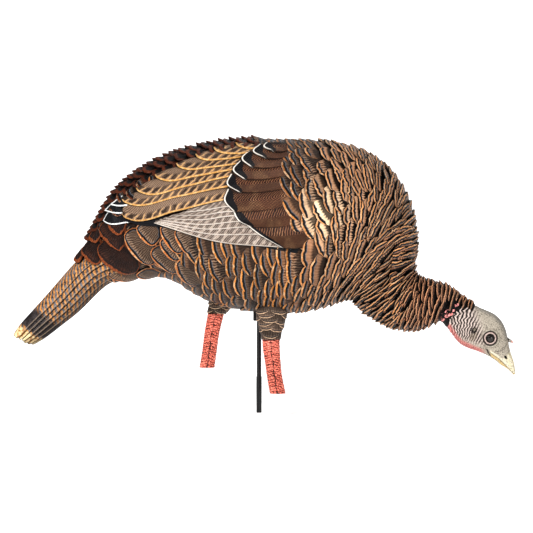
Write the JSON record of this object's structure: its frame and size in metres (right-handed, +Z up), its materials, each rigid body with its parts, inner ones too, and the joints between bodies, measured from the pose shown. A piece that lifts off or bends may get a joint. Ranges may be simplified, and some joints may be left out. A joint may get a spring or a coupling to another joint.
{
  "type": "turkey decoy",
  "caption": "Life-size feeding hen turkey decoy: hollow moulded bird with sculpted feathers that swivels on a two-piece ground stake.",
  "frame": {"origin": "bottom end of the ground stake, on the stake's axis", "axes": "+Z up along the stake, +X the way the bird faces (bill), +Y the bird's left side"},
  "size_m": [0.8045, 0.247, 0.4369],
  "materials": {
    "feather_skin": "matte, painted feathers",
    "wing_skin": "matte, painted feathers",
    "tail_skin": "matte, painted feathers",
    "bare_skin": "matte, painted wrinkles",
    "thigh_skin": "matte, painted feathers",
    "leg_skin": "satin, painted scales",
    "eye": "polished",
    "moulded_rubber": "matte",
    "black_nylon": "fine grain",
    "stake_tube": "satin black",
    "stake_metal": "turned"
  },
  "bodies": {
    "ground_stake": {"lower_stake": "stake_tube", "stake_foot_plug": "black_nylon"},
    "upper_stake_set": {"upper_stake": "stake_tube", "upper_stake_end_plug": "black_nylon", "stake_tip": "stake_metal"},
    "pivot": {"pivot_cup": "black_nylon"},
    "decoy": {"body_shell": "feather_skin", "right_wing": "wing_skin", "left_wing": "wing_skin", "tail_fan": "tail_skin", "tail_sleeve": "moulded_rubber", "head": "bare_skin", "neck_ring": "moulded_rubber", "right_eye": "eye", "left_eye": "eye", "right_thigh": "thigh_skin", "left_thigh": "thigh_skin", "right_leg": "leg_skin", "left_leg": "leg_skin", "right_leg_retainer": "black_nylon", "left_leg_retainer": "black_nylon", "valve_seat": "moulded_rubber", "socket_collar": "black_nylon", "stake_bush": "black_nylon", "socket_tube": "black_nylon", "socket_cap": "black_nylon", "back_pad": "moulded_rubber"},
    "valve": {"valve_plug": "moulded_rubber"}
  },
  "joints": [
    {"name": "stake_sections", "type": "slide", "parent": "ground_stake", "child": "upper_stake_set", "axis": [0, 0, 1], "range_m": [0, 0.045]},
    {"name": "decoy_lift", "type": "slide", "parent": "upper_stake_set", "child": "pivot", "axis": [0, 0, 1], "range_m": [0, 0.27]},
    {"name": "decoy_swivel", "type": "hinge", "parent": "pivot", "child": "decoy", "pos_m": [0, 0, 0.407], "axis": [0, 0, 1], "continuous": true},
    {"name": "valve_pull", "type": "slide", "parent": "decoy", "child": "valve", "axis": [0, 0, -1], "range_m": [0, 0.02]}
  ]
}
